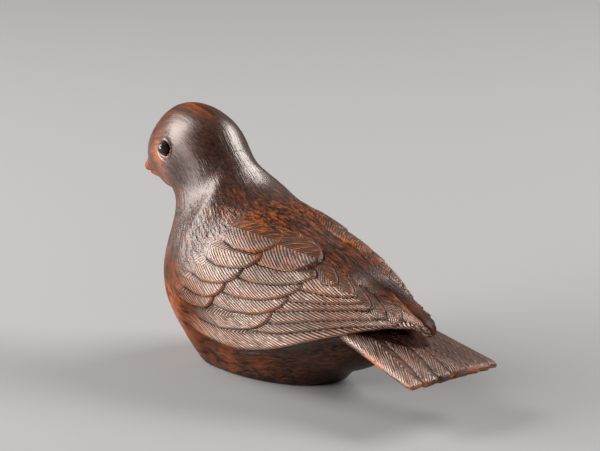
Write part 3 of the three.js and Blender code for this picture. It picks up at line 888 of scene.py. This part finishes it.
def own_frames(corner_points, feather, lift):
    """The charts of corners, all read in the feather that owns their face."""
    n = len(corner_points)
    phase, own, quill = np.zeros(n), np.full(n, FAR), np.full(n, FAR)
    y, angle = corner_points[:, 1], chart_angle(corner_points)
    hit = np.nonzero(feather == EDGE_OWNER)[0]
    _, phase[hit], own[hit], quill[hit] = on_edge_strip(y[hit], lift[hit])
    for index, one in enumerate(painted):
        hit = np.nonzero(feather == index)[0]
        along, off, across, inside = on_feather(one, y[hit], angle[hit], index)
        phase[hit] = barb_phase(one, along, off)
        cut_share = exposed(one, along / one["length"], across)[1]
        own[hit], quill[hit] = inside + 1.5 * (1 - cut_share), off
    return phase, own, quill


print("corners to chart:", len(loops), "on", len(points), "points")

# %% Charts in each feather's own frame
wing, _, plate, lift = zones(centres, face_normals)
owner = np.repeat(wing_charts(centres, lift)[2], 3)
corner_points = points[loops]
_, _, _, corner_lift = zones(corner_points, normals[loops])
barb, over, _ = wing_charts(corner_points, corner_lift)
_, tail_phase, tail_own, tail_over, tail_quill = paint_tail(corner_points)
phase, own, quill = own_frames(corner_points, owner, corner_lift)
is_tail = np.repeat(plate > 0.5, 3)
is_wing = np.repeat((wing > 0.4) & (plate <= 0.5), 3) & (owner >= 0)
on_wing = np.repeat(wing > 0.4, 3)
flat = ramp(np.abs(np.repeat(face_normals[:, 2], 3)), 0.4, 0.7)
edge_rim = np.where(on_wing, np.abs(corner_lift), FAR)
ahead = np.where(corner_points[:, 1] < WING_EDGE[0, 0], FAR, 0)
# On the flank, the distance below the wing's edge drives the knife colour: a painted shadow line under the
# wing.
under_wing_shadow = np.where(on_wing, FAR, np.abs(np.minimum(corner_lift, 0)) + ahead)
phase = np.where(is_tail, tail_phase, phase)
own = np.where(is_wing, np.minimum(own, edge_rim), edge_rim)
own = np.where(is_tail, tail_own * flat * 1.15 + 0.02, own)
over = np.where(is_wing, over, under_wing_shadow)
over = np.where(is_tail, 0.06 + 1.5 * tail_over + (1 - flat), over)
quill = np.where(is_tail, tail_quill, quill)
is_beyond = beyond_crest(corner_points)
depth = np.where(is_tail, 0.68 * flat, np.where(is_wing, np.minimum(barb / FULL_BARB, 1.6), 0))
depth = depth * np.where(is_tail, 1, 1 - is_beyond)
faded = np.where(is_tail, 0, 2 * is_beyond)
own, over = own + faded, over + faded
corner_layer(pigeon, "barbs", np.stack([phase, np.clip(quill, -3, 3)], 1))
corner_layer(pigeon, "edges", np.stack([np.clip(own, -1, 3), np.clip(over, -1, 3)], 1))
hatched = ramp(chart_angle(corner_points), 122, 138) * ramp(corner_points[:, 1], -13, -8)
hatched *= (1 - 0.4 * ramp(corner_points[:, 1], 8, 14)) * (1 - is_tail)
corner_layer(pigeon, "depths", np.stack([depth, hatched], 1))
point_layer(pigeon, "stream", stream_chart(points))
print("corners on wing feathers:", int(is_wing.sum()), "on the tail:", int(is_tail.sum()))

# %% [markdown]
# ## Worn and matt places
# Fingers and cloth have rubbed the real one warm on the crown, breast, mantle and crest, and polished what
# stands out, while the hollows and the hatched back stayed matt. Each place is a soft ball round a point,
# the same on both sides. Painting by hand would do too, but a list can be read and changed.

# %% Wear, stain and painted shade zones
# A negative share darkens the wood: behind the eye, down the back of the neck and on the low flank under the
# wing, it is painted shade.
WARM_PLACES = [  # middle in mm, size in mm, share
    ((0, -22, 28.2), 4.0, 0.75), ((0, -17, 30.2), 3.0, 0.5), ((3.4, -21.3, 23.8), 2.1, 1.2),
    ((0, -27, 21), 3.4, 0.9), ((0, -21, 16), 6.5, 0.9), ((5, -17, 8), 7.5, 0.85), ((9.5, -11, 8), 4.0, 0.5),
    ((5, -4, 18), 4.5, 0.65), ((0, 0, 19), 5.0, 0.6), ((3.8, 5, 16.6), 3.2, 0.5),
    ((3.0, 10.5, 14.8), 3.6, 0.65),
    ((7, -13, 2.5), 3.5, 0.6), ((9.5, -4, 4), 4.0, 0.45), ((3.6, -15.5, 24.5), 3.6, -1.0),
    ((2.5, -13, 19), 3.4, -0.7), ((7.0, 8, 4), 6.0, -0.5), ((0, 27, 6), 3.0, 0.2), ((8, 26, 5), 3.0, 0.3),
    ((1.4, 19, 11.8), 2.6, 0.55)]
MATT_PLACES = [
    ((4, -18, 11), 8.0, 1.0), ((3, -1, 18.5), 5.0, 0.9), ((1.5, 9, 16), 4.5, 0.9), ((0, -25, 20), 4.5, 1.0),
    ((4.6, -15.8, 23.4), 3.4, 0.72), ((3.6, -14.2, 26.2), 2.8, 0.8), ((10, -8.4, 8), 4.8, 1.0),
    ((0, -18.5, 30), 3.2, 0.8), ((10, -12.5, 10.5), 5.2, 0.95), ((4.5, -18.5, 19), 3.6, 0.7),
    ((6.2, 3, 15.5), 4.2, 0.7), ((0.2, 15.5, 13.2), 3.2, 1.0)]


def squares_away(points, middle, size):
    x, y, z = middle
    away = (np.abs(points[:, 0]) - x) ** 2 + (points[:, 1] - y) ** 2 + (points[:, 2] - z) ** 2
    return away / size ** 2


warm, matt = np.zeros(len(points)), np.zeros(len(points))
for middle, size, share in WARM_PLACES:
    warm += share * np.exp(-squares_away(points, middle, size))
for middle, size, share in MATT_PLACES:
    matt = np.maximum(matt, share * np.exp(-squares_away(points, middle, size) ** 2))
print("warm places:", len(WARM_PLACES), "and matt places:", len(MATT_PLACES))

# %% Crest, hollows and tail
on_top = points[:, 2] - chart_axis(points[:, 1])
on_crest = ramp(points[:, 1], 15, 18) * (on_top > -0.5) * (points[:, 1] < 24)
warm += 1.3 * on_crest * np.exp(-((beside_crest(points) - 0.25) / 0.42) ** 2)

point_plate = zones(points, normals)[2]
below = 1 - ramp(above_wing_edge(folded(points)), -1.2, 0)
beyond_tip = ramp(points[:, 1], 14, 17) * (points[:, 2] > 9) * ramp(beside_crest(points), 0.5, 0.1)
far_tail = point_plate * (1 - ramp(points[:, 0], 2.5, 5.5))
for share, zone in ((0.5, far_tail), (0.9, below * (1 - point_plate)), (0.9, beyond_tip)):
    matt = np.maximum(matt, share * zone)
point_layer(pigeon, "warm", warm)
point_layer(pigeon, "hair", calmness(points))
point_layer(pigeon, "matt", matt)
print("warm from", warm.min().round(2), "to", warm.max().round(2), "and matt share", matt.mean().round(2))

# %% Back to metres
pigeon.data.transform(Matrix.Scale(MM, 4) @ Matrix.Translation((0, ROW_SHIFT, 0)))
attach(pigeon, "root")
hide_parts("bird")
print("pigeon measures", [round(side / MM, 1) for side in pigeon.dimensions], "mm")

# %% [markdown]
# ## Finish helpers
# A material is a small network. These helpers add a node, link two sockets and give a socket a value, so
# each finish below reads as a list of what it does.


# %% Node helpers
def add_node(tree, kind, **settings):
    node = tree.nodes.new(kind)
    for key, value in settings.items():
        setattr(node, key, value)
    return node


def feed(tree, socket, value):
    if isinstance(value, bpy.types.NodeSocket):
        tree.links.new(value, socket)
    elif value is not None:
        socket.default_value = value


def maths(tree, operation, a, b=None, c=None):
    node = add_node(tree, "ShaderNodeMath", operation=operation)
    for socket, value in zip(node.inputs, (a, b, c)):
        feed(tree, socket, value)
    return node.outputs[0]


def smooth_ramp(tree, value, low, high, to_low=0.0, to_high=1.0):
    node = add_node(tree, "ShaderNodeMapRange", interpolation_type="SMOOTHSTEP")
    names = ("Value", "From Min", "From Max", "To Min", "To Max")
    for name, x in zip(names, (value, low, high, to_low, to_high)):
        feed(tree, node.inputs[name], x)
    return node.outputs["Result"]


def blended(tree, share, a, b, how="MIX"):
    node = add_node(tree, "ShaderNodeMix", data_type="RGBA", blend_type=how)
    feed(tree, node.inputs[0], share)
    feed(tree, node.inputs[6], a)
    feed(tree, node.inputs[7], b)
    return node.outputs[2]


def scaled(tree, value, by, plus=0.0):
    return maths(tree, "MULTIPLY_ADD", value, by, plus)


def product(tree, first, *others):
    for other in others:
        first = maths(tree, "MULTIPLY", first, other)
    return first


def noise(tree, place, scale, detail=2.0, rough=0.5, stretch=None):
    if stretch is not None:
        node = add_node(tree, "ShaderNodeMapping")
        feed(tree, node.inputs["Vector"], place)
        node.inputs["Scale"].default_value = stretch
        place = node.outputs[0]
    node = add_node(tree, "ShaderNodeTexNoise")
    feed(tree, node.inputs["Vector"], place)
    node.inputs["Scale"].default_value = scale
    node.inputs["Detail"].default_value = detail
    node.inputs["Roughness"].default_value = rough
    return node.outputs["Fac"]


def new_group(name, inputs, outputs):
    group = bpy.data.node_groups.new(name, "ShaderNodeTree")
    for label, kind in inputs:
        group.interface.new_socket(label, in_out="INPUT", socket_type=kind)
    for label, kind in outputs:
        group.interface.new_socket(label, in_out="OUTPUT", socket_type=kind)
    return group, group.nodes.new("NodeGroupInput").outputs, group.nodes.new("NodeGroupOutput").inputs


def split(tree, vector):
    parts = add_node(tree, "ShaderNodeSeparateXYZ")
    feed(tree, parts.inputs[0], vector)
    return parts.outputs


print("node helpers ready")

# %% [markdown]
# ## Wood
# The wood is dark brown under a clear rubbed skin. Handling has worn the stain off every raised edge, so
# they glow orange. Dirt and painted shade darken each knife line, more painted shade lies beside each
# overlapping edge, and a painted sheen lightens the barb ridges. Fine grain runs along the bird.

# %% Barb group
barb_group, given, gives = new_group(
    "barbs", [("Barbs", "NodeSocketVector"), ("Depth", "NodeSocketFloat")],
    [(label, "NodeSocketFloat") for label in ("Ridge", "Strength", "Streak", "Side")])
parts = split(barb_group, given["Barbs"])
wave = maths(barb_group, "SINE", maths(barb_group, "MULTIPLY", parts["X"], math.pi))
uneven = noise(barb_group, given["Barbs"], 1.0, 1.0, 0.5, (0.9, 1.1, 1))
uneven = smooth_ramp(barb_group, uneven, 0.3, 0.62, 0.25, 1.0)
feed(barb_group, gives["Ridge"], maths(barb_group, "ABSOLUTE", wave))
feed(barb_group, gives["Strength"], maths(barb_group, "MULTIPLY", given["Depth"], uneven))
feed(barb_group, gives["Streak"], noise(barb_group, given["Barbs"], 1.0, 2.0, 0.6, (0.75, 0.9, 1)))
feed(barb_group, gives["Side"], parts["Y"])
print("barb group gives", [socket.name for socket in gives if socket.name])

# %% Stroke group
stroke_group, given, gives = new_group(
    "strokes", [("Stream", "NodeSocketVector")],
    [(label, "NodeSocketFloat") for label in ("Stroke", "Tuft", "Cut")])
fine = noise(stroke_group, given["Stream"], 1.0, 2.0, 0.6, (5.5, 5.5, 0.8))
short = noise(stroke_group, given["Stream"], 1.0, 2.0, 0.6, (3.4, 3.4, 0.6))
ridged = maths(stroke_group, "ABSOLUTE", scaled(stroke_group, short, 2.0, -1.0))
feed(stroke_group, gives["Stroke"], scaled(stroke_group, ridged, -1.2, fine))
feed(stroke_group, gives["Tuft"], short)
hatch = noise(stroke_group, given["Stream"], 1.0, 0.0, 0.5, (1.9, 1.9, 0.28))
hatch = maths(stroke_group, "ABSOLUTE", maths(stroke_group, "SUBTRACT", hatch, 0.5))
broken = noise(stroke_group, given["Stream"], 1.0, 0.0, 0.5, (1.1, 1.1, 0.4))
broken = smooth_ramp(stroke_group, broken, 0.36, 0.54)
feed(stroke_group, gives["Cut"], product(stroke_group, smooth_ramp(stroke_group, hatch, 0.05, 0.012), broken))
print("stroke group gives", [socket.name for socket in gives if socket.name])

# %% Grain group
grain_group, given, gives = new_group("grain", [("Place", "NodeSocketVector")],
                                      [("Fibre", "NodeSocketFloat"), ("Cloud", "NodeSocketFloat")])
feed(grain_group, gives["Fibre"], noise(grain_group, given["Place"], 1000.0, 3.0, 0.6, (2.6, 0.16, 3.4)))
feed(grain_group, gives["Cloud"], noise(grain_group, given["Place"], 320.0, 3.0, 0.6, (1, 0.6, 1)))
print("grain group gives", [socket.name for socket in gives if socket.name])

# %% Wood colours and charts
DARK = (0.011, 0.005, 0.004, 1)
BROWN = (0.068, 0.022, 0.010, 1)
RED_BROWN = (0.150, 0.036, 0.010, 1)
WORN = (0.43, 0.105, 0.017, 1)
GREY_BROWN = (0.056, 0.032, 0.024, 1)
# Pale, for the barb ridges: the wood's lighter tone and a painted sheen.
PALE_AND_SHEEN = (0.60, 0.37, 0.28, 1)
# Nearly black, for the knife lines: dirt and painted shade.
KNIFE_DIRT_AND_SHADE = (0.005, 0.003, 0.002, 1)

wood = bpy.data.materials.new("rubbed_wood")
wood.use_nodes = True
tree = wood.node_tree
shader = tree.nodes["Principled BSDF"]


def place_group(tree, group, **links):
    node = add_node(tree, "ShaderNodeGroup", node_tree=group)
    for name, value in links.items():
        feed(tree, node.inputs[name], value)
    return node.outputs


def map_of(tree, name):
    return add_node(tree, "ShaderNodeUVMap", uv_map=name).outputs["UV"]


def attribute(tree, name, output="Fac"):
    return add_node(tree, "ShaderNodeAttribute", attribute_name=name).outputs[output]


where = add_node(tree, "ShaderNodeTexCoord").outputs["Object"]
depths, edges = split(tree, map_of(tree, "depths")), split(tree, map_of(tree, "edges"))
barbs = place_group(tree, barb_group, Barbs=map_of(tree, "barbs"), Depth=depths["X"])
strokes = place_group(tree, stroke_group, Stream=attribute(tree, "stream", "Vector"))
grain = place_group(tree, grain_group, Place=where)
warm_zone, matt_zone, hair_zone = (attribute(tree, name) for name in ("warm", "matt", "hair"))
hatched, strength, ridge = depths["Y"], barbs["Strength"], barbs["Ridge"]
print("groups in the wood:", sum(node.type == "GROUP" for node in tree.nodes))

# %% Wood masks
feathered = smooth_ramp(tree, depths["X"], 0.08, 0.55)
bare = smooth_ramp(tree, maths(tree, "SUBTRACT", 1.0, depths["X"]), 0.1, 0.9)
nick = maths(tree, "SUBTRACT", noise(tree, where, 900.0, 2.0, 0.6), 0.5)
rim = smooth_ramp(tree, scaled(tree, nick, 0.6, edges["X"]), 0.36, 0.14)
rim = product(tree, rim, smooth_ramp(tree, grain["Cloud"], 0.38, 0.62, 0.1, 0.95))
# Knife: a thin dark line just past each overlapping edge and just under the wing's lower edge, dirt and
# painted shade.
knife = smooth_ramp(tree, edges["Y"], 0.26, 0.09)
# Next to it, on the feathers, a wider band of painted shade cast by the overlapping edge.
shade_beside_edges = product(tree, smooth_ramp(tree, edges["Y"], 0.7, 0.15), 0.5, feathered)
vane = product(tree, strength, smooth_ramp(tree, ridge, 0.48, 0.93))
groove = product(tree, strength, smooth_ramp(tree, ridge, 0.62, 0.15))
outer = smooth_ramp(tree, barbs["Side"], -0.9, 0.5, 0.4, 0.88)
# Pale barb ridges, paler on each feather's lower side: partly the wood's own tone, partly a painted sheen.
pale = product(tree, outer, scaled(tree, hatched, -0.65, 1.0), scaled(tree, matt_zone, -0.6, 1.0), vane)
stroke_dark = product(tree, smooth_ramp(tree, strokes["Stroke"], 0.3, 0.0), bare, 0.8)
cuts = product(tree, strokes["Cut"], bare, hair_zone, hair_zone)
print("nodes in the wood after its masks:", len(tree.nodes))

# %% Wood stain
tuft = add_node(tree, "ShaderNodeMix", data_type="FLOAT")
for number, value in ((0, feathered), (2, strokes["Tuft"]), (3, barbs["Streak"])):
    feed(tree, tuft.inputs[number], value)
tuft = maths(tree, "SUBTRACT", tuft.outputs[0], 0.5)
patch = scaled(tree, warm_zone, 0.5, grain["Cloud"])
patch = scaled(tree, hatched, -0.16, patch)
patch = scaled(tree, tuft, scaled(tree, hatched, 1.9, 1.15), patch)
patch = scaled(tree, maths(tree, "SUBTRACT", ridge, 0.5), product(tree, strength, 0.25), patch)
mottle = smooth_ramp(tree, patch, 0.76, 1.2)
reddish = smooth_ramp(tree, patch, 0.42, 0.95)

colour = blended(tree, smooth_ramp(tree, grain["Fibre"], 0.3, 0.7), DARK, BROWN)
# The pale ridges carry a painted sheen; the band beside each edge and the knife lines carry painted shade.
layers = [
    (product(tree, feathered, 0.8), GREY_BROWN), (product(tree, reddish, 0.85), RED_BROWN),
    (product(tree, mottle, 0.8), WORN), (pale, PALE_AND_SHEEN), (shade_beside_edges, DARK), (rim, WORN), (stroke_dark, DARK),
    (product(tree, cuts, 0.9), DARK), (product(tree, groove, 0.95), DARK), (knife, KNIFE_DIRT_AND_SHADE)]
for share, tint in layers:
    colour = blended(tree, share, colour, tint)
feed(tree, shader.inputs["Base Color"], colour)
print("layers of colour:", len(layers))

# %% Wood shine
rough = scaled(tree, grain["Cloud"], 0.16, 0.22)
for zone, rougher in ((matt_zone, 0.18), (rim, 0.2), (knife, 0.3), (groove, 0.2)):
    rough = scaled(tree, zone, rougher, rough)
feed(tree, shader.inputs["Roughness"], rough)
feed(tree, shader.inputs["Specular IOR Level"], scaled(tree, matt_zone, -0.84, 0.9))
shader.inputs["Specular Tint"].default_value = (1.0, 0.86, 0.78, 1)
shader.inputs["Coat Weight"].default_value = 0.06
shader.inputs["Coat Roughness"].default_value = 0.3

relief = product(tree, strength, smooth_ramp(tree, edges["X"], 0.04, 0.28, 0.2, 1.0), ridge, 0.075)
hair = product(tree, strokes["Stroke"], bare, hair_zone)
for part, height in ((hair, 0.08), (cuts, -0.04), (grain["Fibre"], 0.012)):
    relief = scaled(tree, part, height, relief)
bump = add_node(tree, "ShaderNodeBump")
bump.inputs["Strength"].default_value = 1.0
bump.inputs["Distance"].default_value = MM
feed(tree, bump.inputs["Height"], relief)
feed(tree, shader.inputs["Normal"], bump.outputs["Normal"])
pigeon.data.materials.append(wood)
print("nodes in the wood:", len(tree.nodes))

# %% [markdown]
# ## Inlaid eyes
# Each eye is a bead of black horn, a short peg behind a round polished front. A sphere gives the front,
# and its inner half is drawn in to the peg that the carver glued into the head.

# %% Horn
HORN = {
    "dark": (0.006, 0.005, 0.004, 1), "light": (0.03, 0.018, 0.01, 1),
    "rough": (0.14, 0.24), "coat": (0.2, 0.12)}
horn = bpy.data.materials.new("black_horn")
horn.use_nodes = True
horn_tree = horn.node_tree
horn_shader = horn_tree.nodes["Principled BSDF"].inputs
horn_place = add_node(horn_tree, "ShaderNodeTexCoord").outputs["Object"]
streak = noise(horn_tree, horn_place, 1600.0, 2.0, 0.5, (1, 1, 3))
feed(horn_tree, horn_shader["Base Color"], blended(horn_tree, streak, HORN["dark"], HORN["light"]))
feed(horn_tree, horn_shader["Roughness"], smooth_ramp(horn_tree, streak, 0.3, 0.7, *HORN["rough"]))
horn_shader["Coat Weight"].default_value, horn_shader["Coat Roughness"].default_value = HORN["coat"]
print("nodes in the horn:", len(horn_tree.nodes))

# %% Eye beads
PEG_TAPER = 0.35


def eye_bead(name, side, node):
    centre = Vector((side * EYE["x"], EYE["y"] + ROW_SHIFT, EYE["z"])) * MM
    bpy.ops.object.select_all(action="DESELECT")
    bpy.ops.mesh.primitive_uv_sphere_add(
        segments=48, ring_count=24, radius=EYE["radius"] * MM, location=centre, rotation=(0, math.pi / 2, 0))
    bead = bpy.context.object
    bead.name = name
    bpy.ops.object.transform_apply(location=True, rotation=True, scale=True)
    for vertex in bead.data.vertices:
        depth = side * (vertex.co.x - centre.x) / (EYE["radius"] * MM)
        if depth < 0:
            narrow = 1 + PEG_TAPER * depth
            vertex.co.y = centre.y + (vertex.co.y - centre.y) * narrow
            vertex.co.z = centre.z + (vertex.co.z - centre.z) * narrow
    bead.data.shade_smooth()
    bead.data.materials.append(horn)
    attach(bead, "root")
    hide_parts(node)
    return bead


beads = [eye_bead("left_eye_bead", 1, "left_eye"), eye_bead("right_eye_bead", -1, "right_eye")]
print("eye beads:", len(beads))
